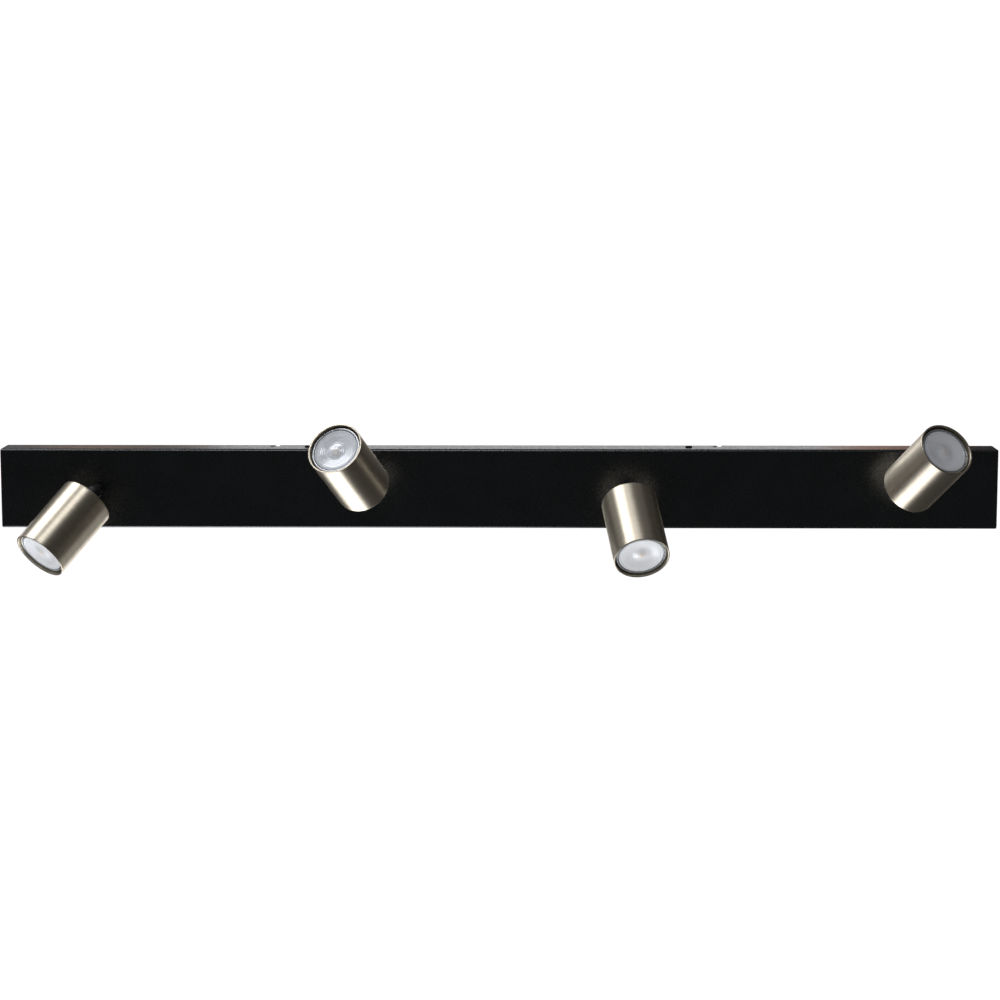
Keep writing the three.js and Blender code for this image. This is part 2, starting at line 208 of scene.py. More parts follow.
def extruded(outline, start, end):
    """A closed outline of (y, z) points, drawn out along X."""
    work = bmesh.new()
    ends = [[work.verts.new((x, *point)) for point in outline] for x in (start, end)]
    for ring in ends:
        work.faces.new(ring)
    for index in range(len(outline)):
        following = (index + 1) % len(outline)
        work.faces.new([ends[0][index], ends[0][following], ends[1][following], ends[1][index]])
    return finished(work, "extruded")


def tube(path, radius):
    """A round tube along a path of points, closed at both ends."""
    curve = bpy.data.curves.new("tube", "CURVE")
    curve.dimensions = "3D"
    curve.bevel_depth = radius * MM
    curve.bevel_resolution = 4
    curve.use_fill_caps = True
    spline = curve.splines.new("POLY")
    spline.points.add(len(path) - 1)
    for point, place in zip(spline.points, path):
        point.co = (*(place * MM), 1)
    holder = bpy.data.objects.new("tube", curve)
    scene.collection.objects.link(holder)
    mesh = evaluated(holder)
    bpy.data.objects.remove(holder)
    mesh.shade_smooth()
    mesh.set_sharp_from_angle(angle=math.radians(60))
    return mesh


def grouped(meshes):
    """Several separate meshes as one."""
    work = bmesh.new()
    for mesh in meshes:
        work.from_mesh(mesh)
    result = bpy.data.meshes.new("grouped")
    work.to_mesh(result)
    work.free()
    return result


def thread(radius, start, end, pitch=0.7):
    """The outline of a screw thread between two places, as crests and roots."""
    count = 2 * int((end - start) / pitch)
    return [(radius - 0.3 * (step % 2), start + pitch * step / 2) for step in range(count + 1)]


def cut(base, tools):
    return combined(base, tools, "DIFFERENCE")


def join(base, tools):
    return combined(base, tools, "UNION")


def piece(name, mesh, material, body, stands_for, place=None, edge=0.0):
    """A mesh as a piece of the object: placed, with softened edges, and riding on its body for CAD nodes."""
    mesh.name = name
    made = bpy.data.objects.new(name, mesh)
    scene.collection.objects.link(made)
    made.matrix_world = place or Matrix.Identity(4)
    mesh.materials.append(material)
    if edge:
        bevel = made.modifiers.new("edges", "BEVEL")
        bevel.width = edge * MM
        bevel.segments = 2
        bevel.limit_method = "ANGLE"
        bevel.angle_limit = math.radians(40)
    weighted = made.modifiers.new("normals", "WEIGHTED_NORMAL")
    weighted.keep_sharp = True
    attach(made, body)
    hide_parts(*stands_for)
    return made


# ---------------------------------------------------------------- materials

class Surface:
    """A material's node tree, with short calls to add and link nodes."""

    def __init__(self, name, **inputs):
        self.material = bpy.data.materials.new(name)
        self.material.use_nodes = True
        self.nodes = self.material.node_tree.nodes
        self.links = self.material.node_tree.links
        self.shader = self.nodes["Principled BSDF"]
        for label, value in inputs.items():
            self.shader.inputs[label.replace("_", " ")].default_value = value
        self.place = self.nodes.new("ShaderNodeTexCoord").outputs["Object"]

    def stretched(self, scale):
        """The object's own coordinates, scaled along each axis, in cycles per metre."""
        mapping = self.nodes.new("ShaderNodeMapping")
        mapping.inputs["Scale"].default_value = scale
        self.links.new(self.place, mapping.inputs["Vector"])
        return mapping.outputs["Vector"]

    def from_axis(self):
        """The distance from the object's Y axis, in millimetres."""
        length = self.nodes.new("ShaderNodeVectorMath")
        length.operation = "LENGTH"
        self.links.new(self.stretched((1 / MM, 0, 1 / MM)), length.inputs[0])
        return length.outputs["Value"]

    def noise(self, scale, detail=3.0, roughness=0.55):
        """Noise with so many cycles per metre along each axis."""
        if not isinstance(scale, tuple):
            scale = (scale, scale, scale)
        texture = self.nodes.new("ShaderNodeTexNoise")
        texture.inputs["Scale"].default_value = 1.0
        texture.inputs["Detail"].default_value = detail
        texture.inputs["Roughness"].default_value = roughness
        self.links.new(self.stretched(scale), texture.inputs["Vector"])
        return texture.outputs["Fac"]

    def between(self, source, low, high, start=0.3, end=0.7):
        """A number that goes from low to high as the source goes from start to end."""
        ramp = self.nodes.new("ShaderNodeMapRange")
        ramp.inputs["From Min"].default_value = start
        ramp.inputs["From Max"].default_value = end
        ramp.inputs["To Min"].default_value = low
        ramp.inputs["To Max"].default_value = high
        self.links.new(source, ramp.inputs["Value"])
        return ramp.outputs["Result"]

    def colours(self, source, stops):
        """A colour ramp of (position, (r, g, b)) stops."""
        ramp = self.nodes.new("ShaderNodeValToRGB")
        while len(ramp.color_ramp.elements) < len(stops):
            ramp.color_ramp.elements.new(0.5)
        for element, (position, colour) in zip(ramp.color_ramp.elements, stops):
            element.position = position
            element.color = (*colour, 1)
        self.links.new(source, ramp.inputs["Fac"])
        return ramp.outputs["Color"]

    def feed(self, source, label):
        self.links.new(source, self.shader.inputs[label])

    def bump(self, height, depth, strength, after=None):
        """Surface relief from a height source that spans depth millimetres, on top of any earlier relief."""
        node = self.nodes.new("ShaderNodeBump")
        node.inputs["Strength"].default_value = strength
        node.inputs["Distance"].default_value = depth * MM
        self.links.new(height, node.inputs["Height"])
        if after is not None:
            self.links.new(after, node.inputs["Normal"])
        self.links.new(node.outputs["Normal"], self.shader.inputs["Normal"])
        return node.outputs["Normal"]

    def brushed_round(self, anisotropy):
        """Stretches highlights along a turned piece's Y axis, across marks that run round it."""
        tangent = self.nodes.new("ShaderNodeTangent")
        tangent.direction_type = "RADIAL"
        tangent.axis = "Y"
        self.links.new(tangent.outputs["Tangent"], self.shader.inputs["Tangent"])
        self.shader.inputs["Anisotropic"].default_value = anisotropy
        self.shader.inputs["Anisotropic Rotation"].default_value = 0.25


def powder_coat(name, colour, roughness, specular):
    """Satin black powder coat: a fine orange peel with faint changes of tone."""
    surface = Surface(name, Metallic=0.0, Specular_IOR_Level=specular)
    tone = surface.noise(35, detail=2)
    surface.feed(surface.colours(tone, [(0.3, colour), (0.7, [c * 1.35 for c in colour])]), "Base Color")
    worn = surface.noise(260, detail=4)
    surface.feed(surface.between(worn, roughness - 0.04, roughness + 0.05), "Roughness")
    peel = surface.bump(surface.noise(420, detail=2), 0.012, 0.3)
    surface.bump(surface.noise(2600, detail=2), 0.001, 0.3, after=peel)
    return surface.material


def brushed_nickel():
    """Warm satin nickel, brushed round the tube."""
    surface = Surface("brushed_nickel", Metallic=1.0)
    surface.brushed_round(0.7)
    fine = surface.noise((40, 2600, 40), detail=4, roughness=0.65)
    broad = surface.noise((14, 420, 14), detail=3, roughness=0.6)
    tones = [(0.25, (0.61, 0.54, 0.42)), (0.75, (0.70, 0.622, 0.492))]
    surface.feed(surface.colours(broad, tones), "Base Color")
    surface.feed(surface.between(fine, 0.36, 0.50), "Roughness")
    marks = surface.bump(fine, 0.012, 0.35)
    surface.bump(broad, 0.02, 0.2, after=marks)
    return surface.material


def zinc_plate():
    """Bright zinc on steel sheet, with cloudy spangle and handling marks."""
    surface = Surface("zinc_plate", Metallic=1.0)
    clouds = surface.noise(90, detail=5, roughness=0.6)
    tones = [(0.3, (0.42, 0.44, 0.46)), (0.7, (0.58, 0.59, 0.58))]
    surface.feed(surface.colours(clouds, tones), "Base Color")
    surface.feed(surface.between(surface.noise(300, detail=4), 0.32, 0.50), "Roughness")
    surface.bump(surface.noise((1500, 120, 1500), detail=3), 0.01, 0.4)
    return surface.material


def plain(name, colour, roughness, mottle=0.06, grain=900, depth=0.01, metallic=0.0, specular=0.5):
    """A moulded, cast or fired surface: an even colour with a slight mottle and a fine grain."""
    surface = Surface(name, Metallic=metallic, Specular_IOR_Level=specular)
    dark = [c * (1 - mottle) for c in colour]
    light = [min(1.0, c * (1 + mottle)) for c in colour]
    surface.feed(surface.colours(surface.noise(120, detail=4), [(0.3, dark), (0.7, light)]), "Base Color")
    surface.feed(surface.between(surface.noise(400), roughness - 0.05, roughness + 0.05), "Roughness")
    surface.bump(surface.noise(grain, detail=3), depth, 0.5)
    return surface.material


def moulded_lens():
    """Milky moulded plastic optics of the faintest blue, with the chip's warm spot at the centre."""
    surface = Surface("lamp_lens", Transmission_Weight=0.30, IOR=1.49, Specular_IOR_Level=1.0)
    tint = [(0.0, (0.95, 0.86, 0.80)), (0.12, (0.95, 0.88, 0.83)), (0.22, (0.95, 0.965, 0.99)),
            (0.9, (0.97, 0.98, 1.0)), (1.0, (0.90, 0.92, 0.96))]
    share = surface.between(surface.from_axis(), 0, 1, 0, LENS_RADIUS)
    surface.feed(surface.colours(share, tint), "Base Color")
    surface.feed(surface.between(surface.noise(300, detail=2), 0.10, 0.16), "Roughness")
    return surface.material


def silvered():
    """The vapour-coated bowl of a reflector lamp, with turned marks that run round it."""
    surface = Surface("silvered", Metallic=0.8)
    surface.brushed_round(0.9)
    tones = [(0.3, (0.88, 0.91, 0.96)), (0.7, (0.93, 0.95, 0.99))]
    surface.feed(surface.colours(surface.noise(60), tones), "Base Color")
    surface.feed(surface.between(surface.noise(200), 0.46, 0.52), "Roughness")
    return surface.material


# ---------------------------------------------------------------- the canopy

SHEET = 1.2
FOLD = 3.0
END_FOLD = 1.3
SPIGOT_RADIUS = 4.0
STEM_TIP = SHEET + 7.3
GAP = 0.3
SCREW = {"x": 192, "y": -15, "radius": 2, "head": 3.4, "height": 1, "end": 31}
HOOK = {"x": 223.5, "y": -8, "width": 4.4, "run": 5}


def tray():
    """The folded sheet: a box open to the wall, with wide folds along its front and tight end folds."""
    work = bmesh.new()
    bmesh.ops.create_cube(work, size=1)
    bmesh.ops.scale(work, vec=(2 * BAR_HALF, -FRONT, 2 * TOP), verts=work.verts)
    bmesh.ops.translate(work, vec=(0, FRONT / 2, 0), verts=work.verts)
    back = [face for face in work.faces if all(abs(v.co.y) < 1e-4 for v in face.verts)]
    bmesh.ops.delete(work, geom=back, context="FACES_ONLY")
    folds = [edge for edge in work.edges if edge.calc_length() > 2 * TOP + 1 and edge.verts[0].co.y < -1]
    bmesh.ops.bevel(work, geom=folds, offset=FOLD, segments=8, profile=0.5, affect="EDGES")
    at_ends = [edge for edge in work.edges if all(abs(v.co.x) > BAR_HALF - 1e-3 for v in edge.verts)]
    short = [edge for edge in at_ends if edge.calc_length() < 2 * TOP + 1]
    ends = [edge for edge in short if min(v.co.y for v in edge.verts) < -1e-3]
    bmesh.ops.bevel(work, geom=ends, offset=END_FOLD, segments=4, profile=0.5, affect="EDGES")
    shell = finished(work, "tray")
    holder = bpy.data.objects.new("tray", shell)
    scene.collection.objects.link(holder)
    wall = holder.modifiers.new("wall", "SOLIDIFY")
    wall.thickness = SHEET * MM
    wall.offset = -1
    wall.use_even_offset = True
    result = evaluated(holder)
    bpy.data.objects.remove(holder)
    return result


def hook_slot(x, side):
    """The cutters of an L-shaped slot: in from the wall side, then along to where a stud rests."""
    half = HOOK["width"] / 2
    low, high = sorted((side * (TOP - SHEET - 1), side * (TOP + 1)))
    entry = block((x - half, HOOK["y"] - half, low), (x + half, 1, high))
    run = block((x - HOOK["run"], HOOK["y"] - half + 0.01, low), (x, HOOK["y"] + half - 0.01, high))
    return [entry, run, rod(half, low, high, "Z", (x - HOOK["run"], HOOK["y"]))]


def build_canopy(material):
    """The folded sheet with its holes for the stems and side screws, and its slots for the studs."""
    tools = [rod(SPIGOT_RADIUS + GAP, FRONT - 1, FRONT + SHEET + 1, "Y", (x, 0)) for x in spot_x]
    for end in SIDES:
        tools.append(rod(SCREW["radius"] + 0.4, -TOP - 1, TOP + 1, "Z", (end * SCREW["x"], SCREW["y"])))
        for side in SIDES:
            tools += hook_slot(end * HOOK["x"], side)
    return piece("canopy_folded_sheet", cut(tray(), tools), material, "root", ["canopy"])


# ---------------------------------------------------------------- behind the canopy

BRACKET = {"half": 236, "half_height": 18, "sheet": 1.5, "ear_start": 180, "ear_depth": 20}
EAR_TOP = TOP - SHEET - 0.4
STUD_RADIUS = 1.6
WALL_SLOT = {"x": 130, "reach": 4.4, "half": 2.6}
CABLE_HOLE = {"x": 40, "radius": 8}
EARTH_X = 75
TERMINAL = {"x": -45, "length": 32, "half": 9, "poles": 3}
SEATED = -BRACKET["sheet"] - GAP
WIRE_WAY = SEATED - 9
WELL = 4.5
LEAD_RADIUS = 1.8
LEAD_STARTS = (-50, -57, -33, -40)
LEAD_LANES = (25, 17, 17, 25)


def ear(end, side):
    """A corner of the bracket: an ear folded forward from the wall, and the stud the canopy hooks on."""
    sheet, depth = BRACKET["sheet"], BRACKET["ear_depth"]
    root = BRACKET["half_height"] - 1
    profile = rounded([
        (0, root), (0, EAR_TOP, 1.9), (-depth, EAR_TOP, 0.5), (-depth, EAR_TOP - sheet, 0.5),
        (-sheet, EAR_TOP - sheet, 0.4), (-sheet, root),
    ], closed=True)
    low, high = sorted((end * BRACKET["ear_start"], end * BRACKET["half"]))
    fold = extruded([(y, side * z) for y, z in profile], low, high)
    stud_place = (end * HOOK["x"] - HOOK["run"], HOOK["y"])
    stud = rod(STUD_RADIUS, side * (EAR_TOP - 1), side * (TOP + 0.6), "Z", stud_place)
    return [fold, stud]


def mounting_bracket():
    """The strip on the wall with its four ears, and the holes for its screws and for the mains cable."""
    half, half_height, sheet = BRACKET["half"], BRACKET["half_height"], BRACKET["sheet"]
    corners = [part for end in SIDES for side in SIDES for part in ear(end, side)]
    strip = block((-half, -sheet, -half_height), (half, 0, half_height))
    holes = [
        rod(CABLE_HOLE["radius"], -sheet - 1, 1, "Y", (CABLE_HOLE["x"], 0), 64),
        rod(2.3, -sheet - 1, 1, "Y", (EARTH_X, 0), 32),
    ]
    for end in SIDES:
        x, reach, radius = end * WALL_SLOT["x"], WALL_SLOT["reach"], WALL_SLOT["half"]
        holes.append(block((x - reach, -sheet - 1, -radius + 0.01), (x + reach, 1, radius - 0.01)))
        holes += [rod(radius, -sheet - 1, 1, "Y", (x + turn * reach, 0)) for turn in SIDES]
        holes.append(rod(SCREW["radius"] + GAP, -TOP, TOP, "Z", (end * SCREW["x"], SCREW["y"])))
    return cut(join(strip, corners), holes)


def cable_grommet():
    """A rubber ring through the bracket's cable hole, with a domed flange on the canopy's side."""
    neck = CABLE_HOLE["radius"] - GAP
    return turned([(4, -GAP, 0.4), (4, SEATED - 2.5, 1.0), (10, SEATED - 2.5, 1.3), (10, SEATED, 0.3),
                   (neck, SEATED, 0.2), (neck, -GAP, 0.4)], sides=64, closed=True)


def pole_places():
    """Where each pole of the terminal block lies along X."""
    pitch = TERMINAL["length"] / TERMINAL["poles"]
    low = TERMINAL["x"] - TERMINAL["length"] / 2
    return [low + pitch * (pole + 0.5) for pole in range(TERMINAL["poles"])]


def terminal_block():
    """The connector strip: a tower for each pole, with two screw wells and a wire way."""
    half = TERMINAL["half"]
    low = TERMINAL["x"] - TERMINAL["length"] / 2
    base = block((low, SEATED - 6, -half), (low + TERMINAL["length"], SEATED, half), 0.6)
    towers = []
    holes = []
    for x in pole_places():
        towers.append(block((x - 4, SEATED - 16, 1 - half), (x + 4, SEATED - 5, half - 1), 1.0, 4))
        holes.append(rod(1.6, -half - 1, half + 1, "Z", (x, WIRE_WAY), 32))
        holes += [rod(1.8, SEATED - 20, SEATED - 11, "Y", (x, side * WELL), 32) for side in SIDES]
    return cut(join(base, towers), holes)


def terminal_brass():
    """A clamp tube in each pole's wire way, and a slotted screw at the bottom of each well."""
    reach = TERMINAL["half"] - 1.6
    made = []
    for x in pole_places():
        bore = [rod(1.1, -reach - 1, reach + 1, "Z", (x, WIRE_WAY), 32)]
        made.append(cut(rod(1.5, -reach, reach, "Z", (x, WIRE_WAY), 32), bore))
        for side in SIDES:
            top, under = SEATED - 12.8, SEATED - 11.1
            head = turned([(0, top), (1.55, top, 0.3), (1.55, under), (0, under)], 32)
            screw = cut(head, [block((-2, SEATED - 14, -0.25), (2, SEATED - 12.1, 0.25))])
            screw.transform(Matrix.Translation(Vector((x, 0, side * WELL)) * MM))
            made.append(screw)
    return grouped(made)


def earth_screw():
    """A domed, slotted screw head and the shank through the bracket."""
    crown = SEATED - 2.4
    head = turned([
        (0, crown), (3.8, crown, 1.2), (3.8, SEATED, 0.2), (2, SEATED), (2, -GAP, 0.2), (0, -GAP),
    ], sides=48)
    return cut(head, [block((-5, SEATED - 3, -0.5), (5, SEATED - 1.4, 0.5))])


def side_screw():
    """A low button-head screw with a hexagon socket, along +Y."""
    end, head, under = SCREW["end"], SCREW["head"], TOP + GAP
    crown = under + SCREW["height"]
    shank = turned([
        (0, end), (1.5, end), *thread(SCREW["radius"], end + 0.5, under - 1), (head, under, 0.1),
        (head, crown, 0.6), (0, crown),
    ], sides=48)
    return cut(shank, [rod(1.3, crown - 0.6, crown + 1, sides=6)])


def smooth_path(points, steps=10):
    """A centripetal Catmull-Rom curve through the points."""
    points = [Vector(point) for point in points]
    ends = [2 * points[0] - points[1], *points, 2 * points[-1] - points[-2]]
    path = []
    for before, start, end, after in zip(ends, ends[1:], ends[2:], ends[3:]):
        first, middle, last = [math.sqrt(span.length) for span in (start - before, end - start, after - end)]
        chord = end - start
        leave = ((start - before) / first - (end - before) / (first + middle) + chord / middle) * middle
        arrive = (chord / middle - (after - start) / (middle + last) + (after - end) / last) * middle
        for step in range(steps):
            t = step / steps
            bend = (3 * chord - 2 * leave - arrive) * t ** 2 + (leave + arrive - 2 * chord) * t ** 3
            path.append(start + leave * t + bend)
    return [*path, points[-1]]


def spot_lead(start, end, lane):
    """A sheathed lead from the connector strip along its lane to the back of a stem."""
    way = math.copysign(1, end - start)
    top = TERMINAL["half"] + GAP
    stem_back = FRONT + STEM_TIP + GAP
    level = WIRE_WAY - 0.2
    return tube(smooth_path([
        (start, level, top),
        (start, level, top + 2),
        (start + 2 * way, level, lane - 2),
        (start + 9 * way, level, lane),
        (end - 26 * way, level, lane),
        (end - 12 * way, level - 1, 0.75 * lane),
        (end - 3 * way, -16, 0.25 * lane),
        (end, stem_back + 4, 0),
        (end, stem_back, 0),
    ]), LEAD_RADIUS)


def build_behind(finishes):
    """Everything the canopy hides, and the four screws through its sides."""
    at_grommet = Matrix.Translation((CABLE_HOLE["x"] * MM, 0, 0))
    at_earth = Matrix.Translation((EARTH_X * MM, 0, 0))
    for node, mesh, finish, slot, place, edge in (
        ("mounting_bracket", mounting_bracket(), "zinc", "plated_steel", None, 0.15),
        ("cable_grommet", cable_grommet(), "rubber", "rubber", at_grommet, 0),
        ("terminal_block", terminal_block(), "nylon", "nylon", None, 0.12),
        ("earth_screw", earth_screw(), "brass", "brass", at_earth, 0.08),
    ):
        piece(f"{node}_finished", mesh, finishes[finish], "root", [node], place, edge)
    piece("terminal_brass", terminal_brass(), finishes["brass"], "root", [])
    for end, hand in zip(SIDES, ("left", "right")):
        for side, level in zip(SIDES, ("bottom", "top")):
            node = f"side_screw_{hand}_{level}"
            place = Matrix.Translation(Vector((end * SCREW["x"], SCREW["y"], 0)) * MM)
            place = place @ Matrix.Rotation(side * math.pi / 2, 4, "X")
            material = finishes["black_hardware"]
            piece(f"{node}_finished", side_screw(), material, "root", [node], place)
    for number, (start, end, lane) in enumerate(zip(LEAD_STARTS, spot_x, LEAD_LANES), 1):
        node = f"spot_lead_{number}"
        lead = spot_lead(start, end, lane)
        piece(f"{node}_finished", lead, finishes["lead"], "root", [node])


# ---------------------------------------------------------------- the heads

HEAD_RADIUS = 27.5
HEAD_REAR = -11
HEAD_FRONT = -88
WALL = 1.5
VENT_CIRCLE = 20
VENT_RADIUS = 2.2
LENS_RADIUS = 22.2
LAMP_FRONT = HEAD_FRONT + 2.6
LAMP_REAR = -31
PIN_PLACE = 5
SEAT = 3.0
BOWL_DEPTH = 10.0
BOWL_BACK = LAMP_FRONT + 15
BOWL_CURVE = 1.7
CHIP_RADIUS = 4.2
RING_PITCH = 1.9
RING_DEPTH = 0.05
NUT_WIDTH = 13
NUT_HEIGHT = 4
WASHER_RADIUS = 8.0
STEM_RADIUS = 5.0
PIVOT = -32
SHOULDER = -23
TONGUE_HALF = 2.7


def housing():
    """A deep-drawn can with a soft rear edge, a broken rim and six vents."""
    inner = HEAD_RADIUS - WALL
    can = turned([
        (SPIGOT_RADIUS + GAP, HEAD_REAR, 0.2), (SPIGOT_RADIUS + GAP, HEAD_REAR - WALL, 0.2),
        (inner, HEAD_REAR - WALL, 1.0), (inner, HEAD_FRONT, 0.35), (HEAD_RADIUS, HEAD_FRONT, 0.35),
        (HEAD_RADIUS, HEAD_REAR, 2.0),
    ], sides=144, closed=True)
    places = []
    for hole in range(6):
        angle = math.radians(30 + 60 * hole)
        places.append((VENT_CIRCLE * math.cos(angle), VENT_CIRCLE * math.sin(angle)))
    return cut(can, [rod(VENT_RADIUS, HEAD_REAR - 3, HEAD_REAR + 1, "Y", place) for place in places])


def clevis():
    """The knuckle at the back of a head, slotted behind and towards +x."""
    boss = turned([
        (0, -19), (SPIGOT_RADIUS, -19, 0.4), (SPIGOT_RADIUS, HEAD_REAR + GAP), (7.5, HEAD_REAR + GAP, 0.3),
        (7.5, 4.5, 4.0), (0, 4.5),
    ], sides=64, steps=8)
    half = TONGUE_HALF + GAP
    return cut(boss, [
        block((-STEM_RADIUS - 0.4, -5.5, -half), (8.5, 5.5, half)),
        rod(2.3, -8.5, 8.5, "Z"),
        rod(3.6, 5.7, 8.5, "Z"),
        rod(2, -20, -4.5, "Y"),
    ])


def hinge_pin():
    """A cap screw through the knuckle, along Z, with a hexagon socket."""
    shank = turned([
        (0, -6.8), (2, -6.8, 0.3), (2, 6.1), (3.2, 6.1, 0.15), (3.2, 6.9, 0.3), (0, 6.9),
    ], sides=48)
    shank.transform(Matrix.Rotation(math.pi / 2, 4, "X"))
    return cut(shank, [rod(1.2, 6.4, 8, "Z", sides=6)])


def lamp_body():
    """A GU10 reflector lamp: two pins, a neck, a tapered cup with a shoulder and the grooved bezel round its
    lens.
    """
    seat = LAMP_FRONT + SEAT
    cup = turned([
        (0, BOWL_BACK), (LENS_RADIUS + 0.3, BOWL_BACK, 2), (LENS_RADIUS + 0.3, seat),
        (LENS_RADIUS + 0.7, LAMP_FRONT, 0.25), (24.3, LAMP_FRONT, 0.5),
        (24.9, LAMP_FRONT + 1.4, 0.4), (24.7, LAMP_FRONT + 5.5, 0.3),
        (23.4, LAMP_FRONT + 5.9, 0.2), (23.2, LAMP_FRONT + 9, 1.5), (15.5, LAMP_REAR - 13, 4),
        (12, LAMP_REAR - 8, 2), (12, LAMP_REAR, 0.6), (0, LAMP_REAR),
    ], sides=144)
    pins = []
    for side in SIDES:
        pin = turned([
            (0, LAMP_REAR - 1), (1.5, LAMP_REAR - 1), (1.5, LAMP_REAR + 3.6, 0.2),
            (2.4, LAMP_REAR + 3.8, 0.2), (2.4, LAMP_REAR + 6, 0.4), (0, LAMP_REAR + 6),
        ], sides=32)
        pin.transform(Matrix.Translation((side * PIN_PLACE * MM, 0, 0)))
        pins.append(pin)
    return join(cup, pins)


def lamp_reflector():
    """The silvered bowl behind the lens."""
    rim, base = LENS_RADIUS - 0.2, CHIP_RADIUS + 0.4
    front, floor = LAMP_FRONT + SEAT, LAMP_FRONT + SEAT + BOWL_DEPTH
    count = 40
    inside = []
    for step in range(count + 1):
        share = step / count
        inside.append((base + (rim - base) * share, front + BOWL_DEPTH * (1 - share ** BOWL_CURVE)))
    outside = [(rim, front + 0.4), (base, floor + 0.6)]
    return turned([(0, floor + 0.6), (0, floor), *inside, *outside], sides=120)


def lamp_chip():
    """The domed light source at the bottom of the bowl."""
    floor = LAMP_FRONT + SEAT + BOWL_DEPTH
    return turned([
        (0, floor - 1.0), (CHIP_RADIUS * 0.6, floor - 0.9, 0.5), (CHIP_RADIUS, floor - 0.3, 0.2),
        (CHIP_RADIUS, floor - 0.02), (0, floor - 0.02),
    ], sides=64)


def lamp_lens():
    """The clear cover: a flat rim, then a dish of fine moulded rings with a dome over the chip."""
    back, front = LAMP_FRONT + SEAT - 0.15, LAMP_FRONT + 0.35
    edge, rim, valley, dip = 0.4, 1.9, 0.45, 2.0
    reach = LENS_RADIUS - rim
    points = []
    count = 84
    for step in range(count + 1):
        share = step / count
        radius = share * reach
        down = share / valley if share < valley else (1 - share) / (1 - valley)
        dish = dip * (1 - math.cos(math.pi * down)) / 2
        ring = RING_DEPTH * math.sin(2 * math.pi * radius / RING_PITCH) * min(1, 6 * (1 - share))
        points.append((radius, front + 0.25 + dish + ring))
    points += [
        (reach + 0.3, front), (LENS_RADIUS - edge, front), (LENS_RADIUS, front + edge), (LENS_RADIUS, back),
        (0, back),
    ]
    return turned(points, sides=144)


def lamp_holder():
    """A waisted ceramic disc with a socket for each of the lamp's pins."""
    cup = turned([
        (0, -19.6), (14, -19.6, 0.8), (14, -23.4, 0.3), (13.2, -23.8, 0.2), (13.2, -26, 0.2),
        (14, -26.4, 0.3), (14, -30.6, 0.6), (0, -30.6),
    ], sides=64)
    return cut(cup, [rod(2.9, -31.6, -23.6, "Y", (side * PIN_PLACE, 0), 32) for side in SIDES])


def nut(start, end):
    """A hexagon nut with chamfered corners."""
    corner = NUT_WIDTH / math.sqrt(3)
    prism = rod(corner, start, end, "Y", sides=6)
    outside = corner + 0.2
    cone = turned([
        (0, start), (6.4, start), (outside, start + 0.7), (outside, end - 0.7), (6.4, end), (0, end),
    ], sides=64)
    crisp = combined(prism, [cone], "INTERSECT")
    return cut(crisp, [rod(SPIGOT_RADIUS + GAP, start - 1, end + 1)])


def washer(start, end):
    """A plain washer with a rolled front edge."""
    return turned([
        (SPIGOT_RADIUS + GAP, start, 0.1), (WASHER_RADIUS, start, 0.15), (WASHER_RADIUS, end, 0.3),
        (SPIGOT_RADIUS + GAP, end, 0.1),
    ], sides=64, closed=True)


def stem():
    """The swivel's stem, turned round at the bar and flattened into a tongue at the hinge."""
    shaft = turned([
        (0, SHOULDER - 1), (3.4, SHOULDER - 1), (STEM_RADIUS, SHOULDER + 0.6, 1.0), (STEM_RADIUS, -GAP, 0.3),
        (SPIGOT_RADIUS, -GAP), *thread(SPIGOT_RADIUS, SHEET + 2, STEM_TIP - 0.4), (0, STEM_TIP),
    ], sides=64)
    blade = block((-STEM_RADIUS, PIVOT, -TONGUE_HALF), (STEM_RADIUS, SHOULDER + 0.3, TONGUE_HALF))
    eye = rod(STEM_RADIUS, -TONGUE_HALF, TONGUE_HALF, "Z", (0, PIVOT), 64)
    bore = rod(2, SHOULDER + 3, STEM_TIP + 1, "Y", sides=32)
    exit_hole = rod(2, 0, 10, "X", (SHOULDER + 4, 0), 32)
    pin_hole = rod(2.3, -TONGUE_HALF - 1, TONGUE_HALF + 1, "Z", (0, PIVOT), 32)
    return cut(join(shaft, [blade, eye]), [bore, exit_hole, pin_hole])


def holder_strap():
    """A U-shaped strap that hangs the lamp holder from the rear of the housing."""
    back = HEAD_REAR - WALL - GAP
    legs = []
    for side in SIDES:
        low, high = sorted((side * 14.5, side * 15.5))
        legs.append(block((low, -28.6, -6), (high, back, 6), 0.2))
    bridge = block((-15.5, back - 1, -6), (15.5, back, 6), 0.2)
    return cut(join(bridge, legs), [rod(SPIGOT_RADIUS + GAP, back - 3, back + 1)])


